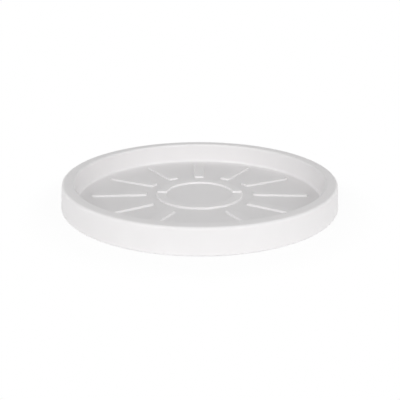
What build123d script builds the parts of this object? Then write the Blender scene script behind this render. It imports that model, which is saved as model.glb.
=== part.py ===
from build123d import *
from math import atan2, cos, radians, sin, tan
import os

# Double-walled plant saucer: one hollow moulding, the plug of its vent hole and six rubber feet.
# Millimetres. The origin is on the ground under the middle of the dish, and +Z points up.

# Outer form of the shell, heights counted from its sole; the floor is level inside the ring and
# falls from there to the wall
base_diameter = 400.0
outer_wall_lean = 3.1
rim_width = 17.5
inner_wall_lean = 1.0
shell_height = 35.7
floor_height = 7.0
floor_fall = 2.1
level_margin = 2.7
foot_edge_radius = 3.8
rim_outer_edge_radius = 4.0
rim_inner_edge_radius = 3.6
floor_fillet_radius = 3.6

# Skin of the moulding, the fused plate in the middle of the floor and the recess inside the sole
skin = 3.0
floor_plate = 5.4
sole_width = 25.0
recess_draft = 25.0
recess_edge_radius = 1.0
cavity_corner_radius = 2.6

# Raised ring in two halves, parted by a straight gap along X
ring_inner_radius = 48.4
ring_width = 15.4
ring_gap = 10.0
ring_corner_radius = 2.0

# Raised bars between ring and wall, with one place left bare towards -Y
bar_pitch_angle = 30.0
bar_count = 11
bare_angle = -90.0
ring_to_bar = 14.2
bar_to_wall = 19.6
bar_width = 16.3
bar_corner_radius = 3.2

# Section that bars and ring share
rib_height = 2.8
rib_draft = 18.0
rib_edge_radius = 0.7
rib_root = 1.0

# Rubber feet in blind sockets under every second bar
foot_count = 6
foot_inset = 32.25
foot_diameter = 22.0
foot_stand = 1.2
foot_head_edge_radius = 1.0
stem_diameter = 7.0
stem_length = 3.6
stem_tip_chamfer = 0.8
socket_clearance = 0.15
socket_depth_clearance = 0.4
grip_count = 2
grip_width = 0.8
grip_height = 0.1

# Vent hole in the sole behind the dish and its push-in plug
vent_hole_diameter = 8.0
vent_angle = 90.0
plug_head_diameter = 13.0
plug_head_height = 1.3
plug_head_chamfer = 0.3
plug_flush_depth = 0.3
plug_clearance = 0.12
plug_play = 0.15
plug_barb_overhang = 0.7
plug_barb_height = 2.4
plug_tip_diameter = 5.4
plug_slot_width = 1.4
vent_boss_width = 2.0
vent_boss_root = 1.0

# How far a cut runs past the face that it opens
overrun = 1.0

# Radii and heights above the ground that follow from the sizes above
base_radius = base_diameter / 2
rim_outer_radius = base_radius - outer_wall_lean
rim_inner_radius = rim_outer_radius - rim_width
floor_radius = rim_inner_radius - inner_wall_lean
sole = foot_stand
rim_top = sole + shell_height
floor_top = sole + floor_height
underside = floor_top - floor_plate
cavity_bottom = sole + skin
cavity_top = rim_top - skin
recess_radius = base_radius - sole_width
recess_top_radius = recess_radius - (underside - sole) * tan(radians(recess_draft))
ring_outer_radius = ring_inner_radius + ring_width
bar_inner_radius = ring_outer_radius + ring_to_bar
bar_outer_radius = floor_radius - bar_to_wall
bar_middle_radius = (bar_inner_radius + bar_outer_radius) / 2
bar_length = bar_outer_radius - bar_inner_radius
bar_spread = rib_root * tan(radians(rib_draft))
first_bar_angle = bare_angle + bar_pitch_angle
level_radius = ring_outer_radius + level_margin
floor_edge = floor_top - floor_fall
fall_angle = atan2(floor_fall, floor_radius - level_radius)
foot_circle_radius = recess_top_radius - foot_inset
socket_radius = stem_diameter / 2 + socket_clearance
socket_depth = stem_length + socket_depth_clearance
grip_pitch = (stem_length - stem_tip_chamfer) / grip_count
vent_circle_radius = base_radius - sole_width / 2
head_seat_radius = plug_head_diameter / 2 + plug_clearance
head_seat_depth = plug_head_height + plug_flush_depth
head_seat_top = sole + head_seat_depth
vent_boss_top = head_seat_top + skin
barb_bottom = vent_boss_top + plug_play


def outer_wall_radius(height):
    """Radius of the leaning outer wall at a height above the ground."""
    share = (height - sole) / shell_height
    return base_radius + (rim_outer_radius - base_radius) * share


def inner_wall_radius(height):
    """Radius of the leaning inner wall at a height above the ground."""
    share = (height - floor_edge) / (rim_top - floor_edge)
    return floor_radius + (rim_inner_radius - floor_radius) * share


def around(radius, angle, height):
    """Point on a circle about the middle of the dish, angle in degrees from +X."""
    return (radius * cos(radians(angle)), radius * sin(radians(angle)), height)


vent_centre = around(vent_circle_radius, vent_angle, 0)[:2]

os.makedirs("parts", exist_ok=True)

# Foot of the bar along +X: a plane that falls with the floor and lies one root deep in it
bar_level = floor_top - (bar_middle_radius - level_radius) * tan(fall_angle)
bar_plane = Plane(
    (bar_middle_radius, 0, bar_level),
    x_dir=(cos(fall_angle), 0, -sin(fall_angle)),
    z_dir=(sin(fall_angle), 0, cos(fall_angle)),
).offset(-rib_root)

# The bar along +X
with BuildPart() as bar:
    with BuildSketch(bar_plane) as bar_outline:
        RectangleRounded(
            bar_length + 2 * bar_spread,
            bar_width + 2 * bar_spread,
            bar_corner_radius + bar_spread,
        )
    extrude(amount=rib_root + rib_height, taper=rib_draft)
    fillet(bar.faces().sort_by(Axis.Z)[-1].edges(), rib_edge_radius)

# Shell: outer form turned about the middle, with the hollow of the rim taken out of it
with BuildPart() as shell:
    with BuildSketch(Plane.XZ) as outer_form:
        with BuildLine():
            FilletPolyline(
                (0, underside),
                (recess_top_radius, underside),
                (recess_radius, sole),
                (base_radius, sole),
                (rim_outer_radius, rim_top),
                (rim_inner_radius, rim_top),
                (floor_radius, floor_edge),
                (level_radius, floor_top),
                (0, floor_top),
                radius=[
                    0,
                    recess_edge_radius,
                    recess_edge_radius,
                    foot_edge_radius,
                    rim_outer_edge_radius,
                    rim_inner_edge_radius,
                    floor_fillet_radius,
                    0,
                    0,
                ],
                close=True,
            )
        make_face()
    revolve(axis=Axis.Z)
    with BuildSketch(Plane.XZ) as hollow_form:
        with BuildLine():
            FilletPolyline(
                (inner_wall_radius(cavity_bottom) + skin, cavity_bottom),
                (outer_wall_radius(cavity_bottom) - skin, cavity_bottom),
                (outer_wall_radius(cavity_top) - skin, cavity_top),
                (inner_wall_radius(cavity_top) + skin, cavity_top),
                radius=cavity_corner_radius,
                close=True,
            )
        make_face()
    revolve(axis=Axis.Z, mode=Mode.SUBTRACT)

    # Radial bars
    with PolarLocations(0, bar_count, first_bar_angle, bar_count * bar_pitch_angle):
        add(bar.part)

    # Two half rings
    with BuildSketch(Plane.XY.offset(floor_top)) as half_rings:
        Circle(ring_outer_radius)
        Circle(ring_inner_radius, mode=Mode.SUBTRACT)
        Rectangle(2 * ring_outer_radius + overrun, ring_gap, mode=Mode.SUBTRACT)
        fillet(half_rings.vertices(), ring_corner_radius)
    extrude(amount=rib_height, taper=rib_draft)
    ring_tops = shell.faces(Select.LAST).group_by(Axis.Z)[-1]
    fillet(ring_tops.edges(), rib_edge_radius)

    # Blind sockets for the feet, under every second bar
    with BuildSketch(Plane.XY.offset(underside - overrun)) as sockets:
        with PolarLocations(foot_circle_radius, foot_count):
            Circle(socket_radius)
    extrude(amount=socket_depth + overrun, mode=Mode.SUBTRACT)

    # Vent hole: thickened sole, seat for the plug's head and the hole itself
    with BuildSketch(Plane.XY.offset(cavity_bottom - vent_boss_root)) as vent_boss:
        with Locations(vent_centre):
            Circle(head_seat_radius + vent_boss_width)
    extrude(amount=vent_boss_top - cavity_bottom + vent_boss_root)
    with BuildSketch(Plane.XY.offset(sole - overrun)) as head_seat:
        with Locations(vent_centre):
            Circle(head_seat_radius)
    extrude(amount=head_seat_depth + overrun, mode=Mode.SUBTRACT)
    with BuildSketch(Plane.XY.offset(sole - overrun)) as vent_hole:
        with Locations(vent_centre):
            Circle(vent_hole_diameter / 2)
    extrude(amount=vent_boss_top - sole + 2 * overrun, mode=Mode.SUBTRACT)

shell.part.label = "saucer_shell"
export_step(shell.part, "parts/saucer_shell.step")

# Vent plug: head in its seat, stem through the hole, split barb above the boss
with BuildPart() as plug:
    with BuildSketch(Plane.XY.offset(head_seat_top - plug_head_height)) as plug_head:
        with Locations(vent_centre):
            Circle(plug_head_diameter / 2)
    extrude(amount=plug_head_height)
    chamfer(plug.edges().group_by(Axis.Z)[0], plug_head_chamfer)
    with BuildSketch(Plane.XY.offset(head_seat_top)) as plug_stem:
        with Locations(vent_centre):
            Circle(vent_hole_diameter / 2 - plug_clearance)
    extrude(amount=barb_bottom - head_seat_top)
    with BuildSketch(Plane.XY.offset(barb_bottom)) as barb_wide_end:
        with Locations(vent_centre):
            Circle(vent_hole_diameter / 2 + plug_barb_overhang)
    with BuildSketch(Plane.XY.offset(barb_bottom + plug_barb_height)) as barb_tip:
        with Locations(vent_centre):
            Circle(plug_tip_diameter / 2)
    loft()
    with BuildSketch(Plane.XY.offset(head_seat_top)) as plug_slot:
        with Locations(vent_centre):
            Rectangle(plug_slot_width, plug_head_diameter)
    extrude(amount=barb_bottom - head_seat_top + plug_barb_height + overrun, mode=Mode.SUBTRACT)

plug.part.label = "vent_plug"
export_step(plug.part, "parts/vent_plug.step")

# Feet: a round head between ground and underside, and a ribbed stem in the socket
for number in range(foot_count):
    angle = number * 360 / foot_count
    with BuildPart() as foot:
        with BuildSketch(Plane(around(foot_circle_radius, angle, 0))) as foot_head:
            Circle(foot_diameter / 2)
        extrude(amount=underside)
        fillet(foot.edges().group_by(Axis.Z)[0], foot_head_edge_radius)
        with BuildSketch(Plane(around(foot_circle_radius, angle, underside))) as foot_stem:
            Circle(stem_diameter / 2)
        extrude(amount=stem_length)
        chamfer(foot.edges().group_by(Axis.Z)[-1], stem_tip_chamfer)
        for grip in range(grip_count):
            grip_bottom = underside + (grip + 0.5) * grip_pitch
            with BuildSketch(Plane(around(foot_circle_radius, angle, grip_bottom))) as grip_ring:
                Circle(stem_diameter / 2 + grip_height)
            extrude(amount=grip_width)
    foot.part.label = f"foot_{number + 1}"
    export_step(foot.part, f"parts/foot_{number + 1}.step")
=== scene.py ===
import math

import bmesh
import bpy
import numpy as np
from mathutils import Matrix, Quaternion, Vector


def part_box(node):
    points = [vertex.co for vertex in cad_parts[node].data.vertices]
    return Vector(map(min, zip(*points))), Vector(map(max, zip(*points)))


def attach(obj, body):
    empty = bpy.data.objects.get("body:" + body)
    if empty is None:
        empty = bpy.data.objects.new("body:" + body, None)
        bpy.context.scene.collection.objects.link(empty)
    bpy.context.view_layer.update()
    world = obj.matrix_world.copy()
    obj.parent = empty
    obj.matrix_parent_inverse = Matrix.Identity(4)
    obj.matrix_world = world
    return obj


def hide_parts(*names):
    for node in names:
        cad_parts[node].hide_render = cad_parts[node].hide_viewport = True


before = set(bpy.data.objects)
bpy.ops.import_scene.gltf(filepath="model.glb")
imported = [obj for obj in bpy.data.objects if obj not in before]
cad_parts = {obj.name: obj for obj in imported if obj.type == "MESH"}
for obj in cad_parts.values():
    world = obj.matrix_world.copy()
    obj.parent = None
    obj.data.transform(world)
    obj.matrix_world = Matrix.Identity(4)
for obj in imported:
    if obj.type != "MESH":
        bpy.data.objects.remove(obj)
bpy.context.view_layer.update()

# Saucer moulding. The real one is a single hollow piece of matte white polyethylene, turned in
# an oven until a 3 mm skin lines the mould, so every edge is round, the rim is hollow and the
# floor is one fused plate. Bars and half rings stand up from the floor to keep a pot dry.
mm = 0.001
moulding_low, moulding_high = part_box("saucer_shell")
foot_low, foot_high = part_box("foot_1")
sole = moulding_low[2]
rim_top = moulding_high[2]
base_radius = 200.0 * mm
outer_wall_lean = 3.1 * mm
rim_width = 17.5 * mm
inner_wall_lean = 1.0 * mm
floor_height = 7.0 * mm
floor_fall = 2.1 * mm
floor_plate = 5.4 * mm
skin = 3.0 * mm
sole_width = 25.0 * mm
recess_draft = math.radians(25.0)
floor_top = sole + floor_height
floor_edge = floor_top - floor_fall
underside = floor_top - floor_plate
rim_outer_radius = base_radius - outer_wall_lean
rim_inner_radius = rim_outer_radius - rim_width
floor_radius = rim_inner_radius - inner_wall_lean
recess_radius = base_radius - sole_width
recess_top_radius = recess_radius - (underside - sole) * math.tan(recess_draft)

# Radii of the rounded edges. The photograph shows the foot edge sharper than the solid has it,
# and its corner lies a little inside the base radius to keep the edge within the solid's box.
floor_fillet = 3.6 * mm
rim_inner_edge = 3.6 * mm
rim_outer_edge = 4.0 * mm
foot_edge = 2.0 * mm
foot_corner_inset = 0.22 * mm
recess_edge = 1.0 * mm

# Ring and bars share one section. Of twelve places for a bar, the one towards -Y is bare.
ring_inner_radius = 48.4 * mm
ring_width = 15.4 * mm
ring_gap = 10.0 * mm
ring_corner = 2.0 * mm
ring_outer_radius = ring_inner_radius + ring_width
level_margin = 2.7 * mm
level_radius = ring_outer_radius + level_margin
ring_to_bar = 14.2 * mm
bar_to_wall = 19.6 * mm
bar_inner_radius = ring_outer_radius + ring_to_bar
bar_outer_radius = floor_radius - bar_to_wall
bar_width = 16.3 * mm
bar_corner = 3.2 * mm
bar_places = 12
bar_pitch = 2 * math.pi / bar_places
bare_angle = math.radians(-90.0)
rib_height = 2.8 * mm
rib_draft = math.radians(18.0)
rib_slope = rib_height * math.tan(rib_draft)
rib_edge = 0.7 * mm
rib_foot_blend = 0.15 * mm


def arc(before, corner, after, radius, steps):
    """Points on the arc of that radius that rounds a corner: its centre lies on the bisector of
    the two runs, at radius divided by the sine of half their angle."""
    corner = np.array(corner)
    one = (np.array(before) - corner) / np.linalg.norm(np.array(before) - corner)
    two = (np.array(after) - corner) / np.linalg.norm(np.array(after) - corner)
    half = np.arccos(np.clip(one @ two, -1, 1)) / 2
    centre = corner + (one + two) / np.linalg.norm(one + two) * radius / np.sin(half)
    start = corner + one * radius / np.tan(half) - centre
    end = corner + two * radius / np.tan(half) - centre
    turn = np.arctan2(start[0] * end[1] - start[1] * end[0], start @ end)
    angle = np.linspace(0, turn, steps + 1)
    spun = np.stack([start[0] * np.cos(angle) - start[1] * np.sin(angle),
                     start[0] * np.sin(angle) + start[1] * np.cos(angle)], axis=1)
    return centre + spun


def run(first, last, steps, margin=0.0):
    """Points strictly between two points: evenly spaced shares of the way, with one more point
    close to each end where a margin is given, to hold the flat against the arc beside it."""
    share = np.linspace(0, 1, steps + 1)[1:-1]
    if margin:
        share = np.concatenate([[margin], share, [1 - margin]])
    return np.array(first) * (1 - share[:, None]) + np.array(last) * share[:, None]


def section_points(radii, heights):
    """Points of a section from their radii and their heights, or from one height for all."""
    return np.stack([radii, np.broadcast_to(heights, radii.shape)], axis=1)


def crowded(low, high, spacing, places, reach):
    """Values from low to high whose spacing falls from coarse to fine within reach of each of
    the places: the inverse of the summed density, a constant plus one bell at each place."""
    coarse, fine = spacing
    samples = 6000
    value = np.linspace(low, high, samples)
    density = np.full(samples, 1 / coarse)
    for place in places:
        density += np.exp(-((value - place) / reach) ** 4) / fine
    total = np.concatenate([[0], np.cumsum((density[1:] + density[:-1]) / 2 * np.diff(value))])
    return np.interp(np.linspace(0, total[-1], int(total[-1]) + 1), total, value)


def smooth_step(distance, width):
    """Rise from 0 to 1 over the width, level at both ends: 6t^5 - 15t^4 + 10t^3."""
    t = np.clip(distance / width, 0, 1)
    return t * t * t * (t * (6 * t - 15) + 10)


def soft_ramp(distance, blend):
    """0 before the foot of a slope and the distance beyond it, joined by a parabola that spans
    the blend on each side of the foot."""
    parabola = np.clip(distance + blend, 0, 2 * blend) ** 2 / (4 * blend)
    return parabola + np.maximum(distance - blend, 0)


def inside_depth(across, along, corner):
    """Depth inside a shape with rounded corners, from the depths inside its two pairs of sides."""
    a, b = corner - across, corner - along
    outside = np.hypot(np.maximum(a, 0), np.maximum(b, 0))
    return corner - outside - np.minimum(np.maximum(a, b), 0)


def rib_flank(depth):
    """Height of a rib at a depth inside its outline: a straight slope with a soft foot, then the
    arc of the top edge, whose centre lies one edge radius below the top."""
    slope = soft_ramp(depth, rib_foot_blend) * rib_height / rib_slope
    centre = rib_slope + rib_edge * math.tan((math.pi / 2 - rib_draft) / 2)
    arc_reach = rib_edge * math.cos(rib_draft)
    short = np.clip(centre - depth, 0, arc_reach)
    rounded = rib_height - rib_edge + np.sqrt(rib_edge ** 2 - short ** 2)
    return np.where(depth < centre - arc_reach, slope, rounded)


def rib_rise(x, y):
    """Height of bars and half rings over the floor, the same flank round each outline."""
    radius = np.hypot(x, y)
    angle = np.arctan2(y, x)
    place = np.round(angle / bar_pitch)
    local = angle - place * bar_pitch
    along = radius * np.cos(local)
    aside = np.abs(radius * np.sin(local))
    ends = np.minimum(along - bar_inner_radius, bar_outer_radius - along)
    bars = inside_depth(bar_width / 2 - aside, ends, bar_corner)
    no_bar = -1.0
    bars = np.where(np.abs(place * bar_pitch - bare_angle) < bar_pitch / 2, no_bar, bars)
    across = np.minimum(radius - ring_inner_radius, ring_outer_radius - radius)
    half_rings = inside_depth(across, np.abs(y) - ring_gap / 2, ring_corner)
    return rib_flank(np.maximum(bars, half_rings))


def floor_level(radius):
    """Height of the floor without its ribs: level inside the ring, then an even fall to the wall."""
    share = np.clip((radius - level_radius) / (floor_radius - level_radius), 0, 1)
    return floor_top - floor_fall * share


def turned(section, angles, middle=(0, 0)):
    """Surface of a section turned about an upright axis through the middle: each point's radius
    times the cosine and the sine of the angles, at the point's own height."""
    return np.stack([middle[0] + section[:, 0:1] * np.cos(angles),
                     middle[1] + section[:, 0:1] * np.sin(angles),
                     np.broadcast_to(section[:, 1:2], (len(section), angles.shape[-1]))], axis=2)


# The section runs from the middle of the dish up the inner wall, over the rim, down the outer
# wall and under the sole to the middle of the underside. Each edge has its radius and its steps.
corners = [(level_radius, floor_top), (floor_radius, floor_edge), (rim_inner_radius, rim_top),
           (rim_outer_radius, rim_top), (base_radius - foot_corner_inset, sole),
           (recess_radius, sole), (recess_top_radius, underside), (0, underside)]
edges = [(floor_fillet, 10), (rim_inner_edge, 8), (rim_outer_edge, 8),
         (foot_edge, 8), (recess_edge, 3), (recess_edge, 3)]
arcs = [arc(before, corner, after, radius, steps)
        for before, corner, after, (radius, steps) in zip(corners, corners[1:], corners[2:], edges)]

# Spacing, coarse and fine, of the rings on the floor and of the lines beside the bars. It is
# fine within reach of the middles of the ribs' flanks.
ring_spacing = (6.5 * mm, 0.22 * mm)
line_spacing = (3.0 * mm, 0.26 * mm)
fine_reach = 1.0 * mm
flank_middle = 0.65 * mm
rib_edges = [ring_inner_radius + flank_middle, ring_outer_radius - flank_middle,
             bar_inner_radius + flank_middle, bar_outer_radius - flank_middle]
floor_rings = crowded(0, arcs[0][0, 0], ring_spacing, rib_edges, fine_reach)[:-1]

# Holes start at the edge of a window of eight by eight cells that is left out of a grid. The
# rings of the sole and of the underside are placed for the windows of vent hole and sockets.
window_cells = 8
window_shares = np.linspace(1, -1, window_cells + 1)
foot_circle = (foot_low[0] + foot_high[0]) / 2
vent_circle = base_radius - sole_width / 2
vent_window_reach = 8.4 * mm
socket_window_reach = 7.0 * mm
sole_rings = vent_circle + vent_window_reach * window_shares
rings_outside = foot_circle + np.array([24.0, 16.0]) * mm
rings_inside = foot_circle - np.array([16.0, 28.0]) * mm
middle_rings = np.linspace(98.0, 0, 8) * mm
under_rings = np.concatenate([rings_outside, foot_circle + socket_window_reach * window_shares,
                              rings_inside, middle_rings])
dish_and_walls = np.concatenate([
    section_points(floor_rings, floor_level(floor_rings)),
    arcs[0], run(arcs[0][-1], arcs[1][0], steps=5, margin=0.03),
    arcs[1], run(arcs[1][-1], arcs[2][0], steps=4, margin=0.05),
    arcs[2], run(arcs[2][-1], arcs[3][0], steps=6, margin=0.02), arcs[3]])
sole_and_recess = np.concatenate([section_points(sole_rings, sole), arcs[4], arcs[5]])
section = np.concatenate([dish_and_walls, sole_and_recess, section_points(under_rings, underside)])
sole_window = len(dish_and_walls)
under_window = sole_window + len(sole_and_recess) + rings_outside.size

# Round the dish the lines keep beside the bars on the floor, and spread evenly elsewhere. Each
# sector has the lines of one bar place, with its middle line on the bar, and those of one gap.
bar_reach = bar_width / 2 + fine_reach
line_edges = [bar_width / 2 - flank_middle, ring_gap / 2 + flank_middle]
half_lines = crowded(0, bar_reach, line_spacing, line_edges, fine_reach)
bar_lines = np.concatenate([-half_lines[:0:-1], half_lines]) / bar_reach
gap_steps = 5
sector_lines = np.concatenate([bar_lines, 1 + np.arange(1, 2 * gap_steps) / gap_steps])
sector_size = sector_lines.size
middle_line = half_lines.size - 1
even_angles = (np.arange(sector_size) - middle_line) / sector_size * bar_pitch


def floor_angles(radius):
    """Angles of the lines that cross one sector at a radius: beside a bar the sine of the angle
    is the line's offset over the radius, and the rest of the pitch is divided evenly."""
    tiny = 1e-9
    reach = bar_reach * np.minimum(1, radius / ring_inner_radius)
    edge = np.arcsin(np.clip(reach / np.maximum(radius, reach + tiny), 0, 1))
    near = np.arcsin(np.clip(sector_lines * reach / np.maximum(radius, tiny), -1, 1))
    far = edge + (sector_lines - 1) / 2 * (bar_pitch - 2 * edge)
    return np.where(sector_lines <= 1, near, far)


spread_start = bar_outer_radius + 0.5 * mm
spread_width = 11.0 * mm
spread = smooth_step(section[:, 0] - spread_start, spread_width)
spread[floor_rings.size:] = 1
beside = np.stack([floor_angles(radius) for radius in section[:, 0]])
angles = beside * (1 - spread[:, None]) + even_angles * spread[:, None]
sectors = np.arange(bar_places) * bar_pitch
angles = (angles[:, None, :] + sectors[None, :, None]).reshape(len(section), -1)
outer_grid = turned(section, angles)
floor_grid = outer_grid[:floor_rings.size]
floor_grid[:, :, 2] += rib_rise(floor_grid[:, :, 0], floor_grid[:, :, 1])

# The hollow of the rim is a closed ring inside the skin.
hollow_bottom = sole + skin
hollow_top = rim_top - skin
hollow_edge = 2.6 * mm
hollow_edge_steps = 4
hollow_steps = [window_cells, 3, 3, 3]


def inner_wall_radius(height):
    """Radius of the straight leaning inner wall at a height."""
    share = (height - floor_edge) / (rim_top - floor_edge)
    return floor_radius + (rim_inner_radius - floor_radius) * share


def outer_wall_radius(height):
    """Radius of the straight leaning outer wall at a height."""
    return base_radius - outer_wall_lean * (height - sole) / (rim_top - sole)


hollow_corners = [(outer_wall_radius(hollow_bottom) - skin, hollow_bottom),
                  (inner_wall_radius(hollow_bottom) + skin, hollow_bottom),
                  (inner_wall_radius(hollow_top) + skin, hollow_top),
                  (outer_wall_radius(hollow_top) - skin, hollow_top)]
hollow_arcs = [arc(hollow_corners[i - 1], hollow_corners[i], hollow_corners[(i + 1) % 4],
                   hollow_edge, hollow_edge_steps) for i in range(4)]
next_arcs = hollow_arcs[1:] + hollow_arcs[:1]
hollow_sides = [np.concatenate([here, run(here[-1], following[0], steps)])
                for here, following, steps in zip(hollow_arcs, next_arcs, hollow_steps)]
hollow_section = np.concatenate(hollow_sides + [hollow_arcs[0][:1]])
hollow_window = hollow_edge_steps
line_angles = angles[-1]
hollow_grid = turned(hollow_section, line_angles)


def grid_faces(grid, windows):
    """Quads of a grid of closed rings, without those inside the windows, each given by its first
    ring and middle line."""
    rings, lines = grid.shape[:2]
    ring, line = np.meshgrid(np.arange(rings - 1), np.arange(lines), indexing="ij")
    kept = np.ones(ring.shape, dtype=bool)
    for first_ring, middle in windows:
        rows = slice(first_ring, first_ring + window_cells)
        kept[rows, (middle + np.arange(-window_cells // 2, window_cells // 2)) % lines] = False
    after = (line + 1) % lines
    quads = np.stack([ring * lines + line, (ring + 1) * lines + line,
                      (ring + 1) * lines + after, ring * lines + after], axis=2)
    return quads[kept]


def window_loop(grid, first_ring, middle):
    """Points round the edge of a window, walked once round its four sides."""
    step = np.arange(window_cells)
    last_ring = first_ring + window_cells
    low = middle - window_cells // 2
    high = middle + window_cells // 2
    ring = np.concatenate([np.full(window_cells, first_ring), first_ring + step,
                           np.full(window_cells, last_ring), last_ring - step])
    line = np.concatenate([low + step, np.full(window_cells, high),
                           high - step, np.full(window_cells, low)])
    return grid[ring, line % grid.shape[1]]


def hole_lining(loop, centre, profile):
    """Rings from a window's edge into a round hole: each point of the edge is pulled straight
    towards the centre until it lies on the circle, then follows the profile of radii and heights."""
    outward = loop[:, :2] - centre
    outward = outward / np.hypot(outward[:, 0], outward[:, 1])[:, None]
    radii, heights = profile[:, 0], profile[:, 1]
    circles = np.concatenate([centre + radii[:, None, None] * outward[None],
                              np.broadcast_to(heights[:, None, None], (len(profile), len(loop), 1))], axis=2)
    pulled = np.array([0, 0.4, 0.75])[:, None, None]
    return np.concatenate([loop * (1 - pulled) + circles[0] * pulled, circles])


broken_edge = 0.15 * mm
broken_edge_bend = 0.04 * mm
mouth_width = 0.5 * mm


def hole_mouth(radius, height):
    """Profile of a hole's mouth: a flat ring round it, then an edge broken in two short steps."""
    return [(radius + mouth_width, height), (radius + broken_edge, height),
            (radius + broken_edge_bend, height + broken_edge_bend), (radius, height + broken_edge)]


# Six blind sockets take the stems of the feet, one under every second bar.
stem_radius = 3.5 * mm
socket_clearance = 0.15 * mm
socket_depth = 4.0 * mm
socket_end_edge = 0.3 * mm
socket_end_bend = 0.09 * mm
socket_radius = stem_radius + socket_clearance
socket_top = underside + socket_depth
socket_profile = np.array(hole_mouth(socket_radius, underside) + [
    (socket_radius, socket_top - socket_end_edge),
    (socket_radius - socket_end_bend, socket_top - socket_end_bend),
    (socket_radius - socket_end_edge, socket_top), (socket_radius / 2, socket_top), (0, socket_top)])
sockets = [(under_window, sector * sector_size + middle_line) for sector in range(0, bar_places, 2)]
linings = []
for first_ring, middle in sockets:
    loop = window_loop(outer_grid, first_ring, middle)
    socket_angle = line_angles[middle]
    centre = foot_circle * np.array([math.cos(socket_angle), math.sin(socket_angle)])
    linings.append(hole_lining(loop, centre, socket_profile))

# The vent hole at the back starts in a seat for the plug's head and ends in a boss that
# thickens the sole inside the hollow.
plug_head_radius = 6.5 * mm
plug_head_height = 1.3 * mm
plug_flush_depth = 0.3 * mm
plug_clearance = 0.12 * mm
seat_bevel = 0.12 * mm
vent_radius = 4.0 * mm
boss_width = 2.0 * mm
seat_radius = plug_head_radius + plug_clearance
seat_top = sole + plug_head_height + plug_flush_depth
boss_top = seat_top + skin
vent_profile = np.array(hole_mouth(seat_radius, sole) + [
    (seat_radius, seat_top - seat_bevel), (seat_radius - seat_bevel, seat_top),
    (vent_radius + broken_edge, seat_top), (vent_radius, seat_top + broken_edge),
    (vent_radius, boss_top - broken_edge), (vent_radius + broken_edge, boss_top),
    (vent_radius + boss_width, boss_top)])
back_sector = bar_places // 4
vent_middle = back_sector * sector_size + middle_line
vent_centre = np.array([0.0, vent_circle])
vent_lining = hole_lining(window_loop(outer_grid, sole_window, vent_middle), vent_centre, vent_profile)
boss_edge = window_loop(hollow_grid, hollow_window, vent_middle)
boss_shares = np.array([0.3, 0.6, 0.85, 1.0])[:, None, None]
boss_slope = vent_lining[-1] * (1 - boss_shares) + boss_edge * boss_shares
boss_slope[:, :, 2] = boss_top + (hollow_bottom - boss_top) * smooth_step(boss_shares[:, :, 0], 1)
linings.append(np.concatenate([vent_lining, boss_slope]))


def closed_mesh(name, parts):
    """A mesh from pairs of a grid and its windows: points that meet are merged, which closes
    seams and poles, faces are turned outwards, and only edges over 50 degrees stay sharp."""
    merge_distance = 0.001 * mm
    sharp_angle = math.radians(50)
    starts = np.cumsum([0] + [grid.shape[0] * grid.shape[1] for grid, windows in parts])
    points = np.concatenate([grid.reshape(-1, 3) for grid, windows in parts])
    quads = np.concatenate([grid_faces(grid, windows) + start
                            for (grid, windows), start in zip(parts, starts)])
    mesh = bpy.data.meshes.new(name)
    mesh.from_pydata(points.tolist(), [], quads.tolist())
    work = bmesh.new()
    work.from_mesh(mesh)
    bmesh.ops.remove_doubles(work, verts=work.verts, dist=merge_distance)
    bmesh.ops.recalc_face_normals(work, faces=work.faces)
    work.to_mesh(mesh)
    work.free()
    mesh.shade_smooth()
    mesh.set_sharp_from_angle(angle=sharp_angle)
    piece = bpy.data.objects.new(name, mesh)
    bpy.context.scene.collection.objects.link(piece)
    return piece


moulding = closed_mesh("saucer_moulding",
                       [(outer_grid, [(sole_window, vent_middle)] + sockets),
                        (hollow_grid, [(hollow_window, vent_middle)])] + [(lining, []) for lining in linings])

# Rubbed share of the surface, where pots and hands polish it: the tops of the ribs by the
# fourth power of their height, and the two edges of the rim by a bell across each arc.
rubbed_reach = 2.0 * mm
rubbed_depth = 3.0 * mm
points = np.empty(len(moulding.data.vertices) * 3)
moulding.data.vertices.foreach_get("co", points)
points = points.reshape(-1, 3)
radius = np.hypot(points[:, 0], points[:, 1])
rise = np.clip((points[:, 2] - floor_level(radius)) / rib_height, 0, 1)
rubbed_ribs = rise ** 4 * (radius < bar_outer_radius)
off_edge = np.minimum(np.abs(radius - rim_inner_radius), np.abs(radius - rim_outer_radius))
near_top = np.clip(1 - (rim_top - points[:, 2]) / rubbed_depth, 0, 1)
rubbed_rim = np.exp(-(off_edge / rubbed_reach) ** 2) * near_top
rubbed = moulding.data.attributes.new("rubbed", "FLOAT", "POINT")
rubbed.data.foreach_set("value", np.maximum(rubbed_ribs, rubbed_rim).astype(np.float32))


def new_material(name):
    """An empty material and its node tree."""
    material = bpy.data.materials.new(name)
    material.use_nodes = True
    material.node_tree.nodes.clear()
    return material, material.node_tree


def add_node(tree, kind, inputs, **settings):
    """A node of that kind with its settings, each input linked from a socket or set to a value."""
    node = tree.nodes.new(kind)
    for setting, value in settings.items():
        setattr(node, setting, value)
    for name, value in inputs.items():
        if isinstance(value, bpy.types.NodeSocket):
            tree.links.new(value, node.inputs[name])
        else:
            node.inputs[name].default_value = value
    return node


def own_place(tree):
    """Coordinates of a point in the object itself, in metres."""
    return add_node(tree, "ShaderNodeTexCoord", {}).outputs["Object"]


def noise(tree, place, scale, detail):
    """Cloudy noise at a place, scale in waves per metre."""
    return add_node(tree, "ShaderNodeTexNoise",
                    {"Vector": place, "Scale": scale, "Detail": detail}).outputs["Fac"]


def calculate(tree, operation, *values):
    """One arithmetic step on sockets or numbers."""
    return add_node(tree, "ShaderNodeMath", dict(enumerate(values)), operation=operation).outputs[0]


def rising(tree, share, low, rise):
    """A low value plus a share of a rise."""
    return calculate(tree, "MULTIPLY_ADD", share, rise, low)


def length(tree, vector):
    """Length of a vector."""
    return add_node(tree, "ShaderNodeVectorMath", {0: vector}, operation="LENGTH").outputs["Value"]


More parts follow.
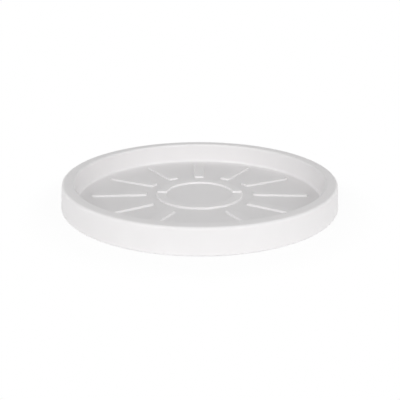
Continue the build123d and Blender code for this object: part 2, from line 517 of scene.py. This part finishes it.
def blend(tree, share, one, two):
    """The first colour, with the second mixed in by a share."""
    return add_node(tree, "ShaderNodeMix", {"Factor": share, "A": one, "B": two},
                    data_type="RGBA").outputs["Result"]


def bump(tree, height, distance, strength, under=None):
    """Relief of a height share times a distance in metres, on top of the relief under it."""
    inputs = {"Height": height, "Distance": distance, "Strength": strength}
    if under is not None:
        inputs["Normal"] = under
    return add_node(tree, "ShaderNodeBump", inputs).outputs["Normal"]


def plastic_surface(tree, colour, roughness, relief):
    """The material's output: a principled shader with this colour, roughness and relief."""
    shader = add_node(tree, "ShaderNodeBsdfPrincipled",
                      {"Base Color": colour, "Roughness": roughness, "Normal": relief})
    add_node(tree, "ShaderNodeOutputMaterial", {"Surface": shader.outputs["BSDF"]})


# Matte polyethylene: cloudy pigment, the fine grain of the sandblasted mould, the orange peel,
# and few pores of powder that melted in place, their shade painted into the colour as dark grey
# specks, and a trimmed flash line low on the outer wall.
flash_height = sole + 5.6 * mm
flash_width = 0.35 * mm
flash_inner_limit = 198.0 * mm
pore_size = 0.022
pore_shade_strength = 0.5
moulded_white, tree = new_material("moulded_white_polyethylene")
place = own_place(tree)
cloud = noise(tree, place, scale=26.0, detail=3.0)
peel = noise(tree, place, scale=240.0, detail=2.0)
grain = noise(tree, place, scale=1700.0, detail=2.0)
pigment = blend(tree, cloud, (0.822, 0.809, 0.812, 1), (0.850, 0.837, 0.840, 1))
# Pores have no relief of their own: the small dark grey specks below are painted shade of the pinholes.
pore_cells = add_node(tree, "ShaderNodeTexVoronoi", {"Vector": place, "Scale": 95.0})
pore_shade_mask = calculate(tree, "LESS_THAN", pore_cells.outputs["Distance"], pore_size)
painted_pore_shade = calculate(tree, "MULTIPLY", pore_shade_mask, pore_shade_strength)
colour = blend(tree, painted_pore_shade, pigment, (0.62, 0.61, 0.60, 1))
worn = add_node(tree, "ShaderNodeAttribute", {}, attribute_name="rubbed")
matte = rising(tree, grain, low=0.47, rise=0.10)
roughness = rising(tree, worn.outputs["Fac"], low=matte, rise=-0.08)

# The flash line is a bell of the distance from its height, on the outer wall only.
apart = add_node(tree, "ShaderNodeSeparateXYZ", {"Vector": place})
flat = add_node(tree, "ShaderNodeCombineXYZ", {"X": apart.outputs["X"], "Y": apart.outputs["Y"]})
outside = calculate(tree, "GREATER_THAN", length(tree, flat.outputs["Vector"]), flash_inner_limit)
off_line = calculate(tree, "SUBTRACT", apart.outputs["Z"], flash_height)
widths_off = calculate(tree, "MULTIPLY", off_line, 1 / flash_width)
fall_off = calculate(tree, "MULTIPLY", calculate(tree, "POWER", widths_off, 2.0), -1.0)
flash = calculate(tree, "MULTIPLY", calculate(tree, "EXPONENT", fall_off), outside)
relief = bump(tree, cloud, distance=0.30 * mm, strength=0.12)
relief = bump(tree, peel, distance=0.05 * mm, strength=0.25, under=relief)
relief = bump(tree, grain, distance=0.02 * mm, strength=0.35, under=relief)
relief = bump(tree, flash, distance=0.05 * mm, strength=0.5, under=relief)
plastic_surface(tree, colour, roughness, relief)
moulding.data.materials.append(moulded_white)
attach(moulding, "root")
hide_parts("saucer_shell")

# Vent plug. The real one is a small injection-moulded push-in plug of satin polyethylene that
# closes the air hole of the hollow rim, flush in its seat under the back of the saucer.
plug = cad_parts["vent_plug"]
satin_white, tree = new_material("satin_white_plug")
place = own_place(tree)
flow = noise(tree, place, scale=180.0, detail=2.0)
fine = noise(tree, place, scale=2600.0, detail=1.0)
colour = blend(tree, flow, (0.765, 0.765, 0.760, 1), (0.795, 0.795, 0.790, 1))
roughness = rising(tree, flow, low=0.30, rise=0.08)
relief = bump(tree, flow, distance=0.03 * mm, strength=0.2)
relief = bump(tree, fine, distance=0.008 * mm, strength=0.3, under=relief)
plastic_surface(tree, colour, roughness, relief)
plug.data.materials.clear()
plug.data.materials.append(satin_white)

# Feet. Six soft rubber feet, compression-moulded in one piece: a round head with three grip
# grooves underneath, and a ribbed stem that is pushed into a blind socket of the underside.
foot_radius = 11.0 * mm
foot_taper = 0.12 * mm
head_edge = 1.0 * mm
head_top_edge = 0.3 * mm
head_corners = [(0, 0), (foot_radius - foot_taper, 0), (foot_radius, underside), (stem_radius, underside)]
head_arcs = [arc(*head_corners[:3], radius=head_edge, steps=6),
             arc(*head_corners[1:], radius=head_top_edge, steps=3)]
gate_rings = np.array([0, 0.35, 0.6, 0.8, 1.0, 1.15, 1.3, 1.6]) * mm
groove_rings = np.linspace(2.2, 9.4, 37) * mm
face_rings = np.concatenate([gate_rings, groove_rings])
groove_middles = np.array([3.4, 5.8, 8.2]) * mm
groove_half_width = 0.75 * mm
groove_depth = 0.40 * mm
dish_radius = 0.9 * mm
dish_slope = 0.6 * mm
dish_depth = 0.30 * mm
gate_radius = 0.3 * mm
gate_slope = 0.4 * mm
gate_height = 0.2 * mm


def tread(radius):
    """Hollows of the foot's ground face: three grooves, each a raised cosine of the distance from
    its middle, and a shallow dish with the stub of the gate in the middle."""
    depth = np.zeros_like(radius)
    for middle in groove_middles:
        off = np.clip(np.abs(radius - middle) / groove_half_width, 0, 1)
        depth += groove_depth * (1 + np.cos(math.pi * off)) / 2
    dish = dish_depth * (1 - smooth_step(radius - dish_radius, dish_slope))
    gate = gate_height * (1 - smooth_step(radius - gate_radius, gate_slope))
    return depth + dish - gate


# The stem starts in a small round at the head, has two grip rings and ends in a blunt tip.
stem_top = foot_high[2]
stem_root = 0.25 * mm
stem_root_bend = 0.07 * mm
tip_edge = 0.8 * mm
tip_bends = np.array([[-0.1, -0.55], [-0.55, -0.1]]) * mm
tip_middle = 1.2 * mm
ridge_middles = underside + np.array([1.1, 2.5]) * mm
ridge_height = 0.1 * mm
ridge_half_width = 0.5 * mm
ridge_slope = 0.25 * mm
stem_heights = np.linspace(underside + stem_root, stem_top - tip_edge, 25)
ridges = sum(ridge_height * smooth_step(ridge_half_width - np.abs(stem_heights - middle), ridge_slope)
             for middle in ridge_middles)
foot_profile = np.concatenate([
    section_points(face_rings, tread(face_rings)),
    head_arcs[0], run(head_arcs[0][-1], head_arcs[1][0], steps=3, margin=0.1),
    head_arcs[1], run(head_arcs[1][-1], (stem_radius + stem_root, underside), steps=3),
    [(stem_radius + stem_root, underside), (stem_radius + stem_root_bend, underside + stem_root_bend)],
    section_points(stem_radius + ridges, stem_heights),
    np.array([stem_radius, stem_top]) + tip_bends,
    [(stem_radius - tip_edge, stem_top), (tip_middle, stem_top), (0, stem_top)]])
foot_line_count = 72
foot_lines = np.arange(foot_line_count) / foot_line_count * 2 * math.pi
foot_rubber, tree = new_material("soft_grey_rubber")
place = own_place(tree)
bloom = noise(tree, place, scale=320.0, detail=3.0)
fine = noise(tree, place, scale=3200.0, detail=1.0)
colour = blend(tree, bloom, (0.275, 0.275, 0.285, 1), (0.335, 0.335, 0.340, 1))
roughness = rising(tree, bloom, low=0.70, rise=0.16)
relief = bump(tree, bloom, distance=0.02 * mm, strength=0.3)
relief = bump(tree, fine, distance=0.010 * mm, strength=0.4, under=relief)
plastic_surface(tree, colour, roughness, relief)
for number in range(1, len(sockets) + 1):
    node_low, node_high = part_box(f"foot_{number}")
    foot_middle = ((node_low[0] + node_high[0]) / 2, (node_low[1] + node_high[1]) / 2)
    foot_grid = turned(foot_profile, foot_lines, foot_middle)
    foot = closed_mesh(f"rubber_foot_{number}", [(foot_grid, [])])
    foot.data.materials.append(foot_rubber)
    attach(foot, "root")
    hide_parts(f"foot_{number}")

# Studio floor. A wide sheet of matt white paper that fades into a white backdrop: what the
# camera sees is mostly plain white, and the saucer's soft shadow stays as a faint share of it.
floor_reach = 14.0
fade_start = 0.19
fade_end = 0.27
near_white = 0.93
floor_mesh = bpy.data.meshes.new("studio_floor")
floor_mesh.from_pydata([(-floor_reach, -floor_reach, 0), (floor_reach, -floor_reach, 0),
                        (floor_reach, floor_reach, 0), (-floor_reach, floor_reach, 0)], [], [(0, 1, 2, 3)])
floor = bpy.data.objects.new("studio_floor", floor_mesh)
bpy.context.scene.collection.objects.link(floor)


def seen_directly(tree):
    """1 for rays from the camera, mirrored rays and rays through glass, 0 for the rest."""
    path = add_node(tree, "ShaderNodeLightPath", {})
    both = calculate(tree, "MAXIMUM", path.outputs["Is Camera Ray"], path.outputs["Is Glossy Ray"])
    return calculate(tree, "MAXIMUM", both, path.outputs["Is Transmission Ray"])


def shown_instead(tree, share, lit, shown, output):
    """The tree's output: one shader, with another one mixed in by a share."""
    mix = add_node(tree, "ShaderNodeMixShader", {0: share, 1: lit.outputs[0], 2: shown.outputs[0]})
    add_node(tree, output, {"Surface": mix.outputs[0]})


paper, tree = new_material("white_paper")
fade = add_node(tree, "ShaderNodeMapRange",
                {"Value": length(tree, own_place(tree)), "From Min": fade_start, "From Max": fade_end,
                 "To Min": near_white, "To Max": 1.0}, interpolation_type="SMOOTHSTEP")
share = calculate(tree, "MULTIPLY", seen_directly(tree), fade.outputs["Result"])
diffuse = add_node(tree, "ShaderNodeBsdfDiffuse", {"Color": (0.95, 0.95, 0.95, 1)})
white = add_node(tree, "ShaderNodeEmission", {})
shown_instead(tree, share, diffuse, white, "ShaderNodeOutputMaterial")
floor_mesh.materials.append(paper)

# Studio light. Softboxes of one size stand far off in two rows round the saucer, brightest in
# front and to both sides of the camera, and what is left of the room is a dim, even grey.
row_distance = 4.2
box_width = 2.7
box_height = 1.5
lamp_aim = Vector((0, 0, 0.02))
softboxes = [
    # name, turn from the camera and height over the floor in degrees, radiance
    ("low_front", 0, 14, 0.88),
    ("low_right_front", 45, 14, 1.80),
    ("low_right", 90, 14, 1.71),
    ("low_right_back", 135, 14, 0.60),
    ("low_left_back", 225, 14, 0.60),
    ("low_left", 270, 14, 1.67),
    ("low_left_front", 315, 14, 1.66),
    ("high_front", 0, 38, 3.02),
    ("high_right_front", 45, 38, 2.26),
    ("high_left", 270, 38, 0.13),
    ("high_left_front", 315, 38, 1.96),
]
room_grey = 0.22


def direction(turn, height):
    """Unit vector from the saucer, turned anticlockwise from -Y and raised by an angle: the
    cosine of the height times the sine and less the cosine of the turn, and the sine of the height."""
    return Vector((math.cos(height) * math.sin(turn), -math.cos(height) * math.cos(turn), math.sin(height)))


for name, turn, height, radiance in softboxes:
    lamp_data = bpy.data.lights.new(name, "AREA")
    lamp_data.shape = "RECTANGLE"
    lamp_data.size = box_width
    lamp_data.size_y = box_height
    lamp_data.energy = math.pi * box_width * box_height * radiance
    lamp = bpy.data.objects.new(name, lamp_data)
    lamp.location = row_distance * direction(math.radians(turn), math.radians(height))
    lamp.rotation_euler = (lamp_aim - lamp.location).to_track_quat("-Z", "Y").to_euler()
    bpy.context.scene.collection.objects.link(lamp)
room = bpy.data.worlds.new("studio_room")
bpy.context.scene.world = room
room.use_nodes = True
tree = room.node_tree
tree.nodes.clear()
dim = add_node(tree, "ShaderNodeBackground", {"Color": (1, 1, 1, 1), "Strength": room_grey})
backdrop = add_node(tree, "ShaderNodeBackground", {"Color": (1, 1, 1, 1), "Strength": 1.0})
shown_instead(tree, seen_directly(tree), dim, backdrop, "ShaderNodeOutputWorld")

# Camera. It looks down on the saucer at 19 degrees from nine tenths of a metre, turned and
# tilted as little as the photograph shows, with its middle on half the height of the moulding.
image_size = 400
camera_turn = math.radians(-0.80)
camera_height = math.radians(18.79)
camera_tilt = math.radians(0.15)
camera_distance = 4.4 * base_radius
pixels_per_radius = 136.24
middle_pixel = (199.78, 187.09)
aim = Vector((0, 0, (sole + rim_top) / 2))
away = direction(camera_turn, camera_height)
camera_data = bpy.data.cameras.new("camera")
camera_data.sensor_width = 36.0
camera_data.lens = pixels_per_radius * camera_distance / base_radius / image_size * camera_data.sensor_width
camera_data.shift_x = (image_size / 2 - middle_pixel[0]) / image_size
camera_data.shift_y = (middle_pixel[1] - image_size / 2) / image_size
camera = bpy.data.objects.new("camera", camera_data)
camera.location = aim + camera_distance * away
facing = (-away).to_track_quat("-Z", "Y") @ Quaternion((0, 0, 1), camera_tilt)
camera.rotation_euler = facing.to_euler()
bpy.context.scene.collection.objects.link(camera)
bpy.context.scene.camera = camera
bpy.context.scene.view_settings.view_transform = "Standard"
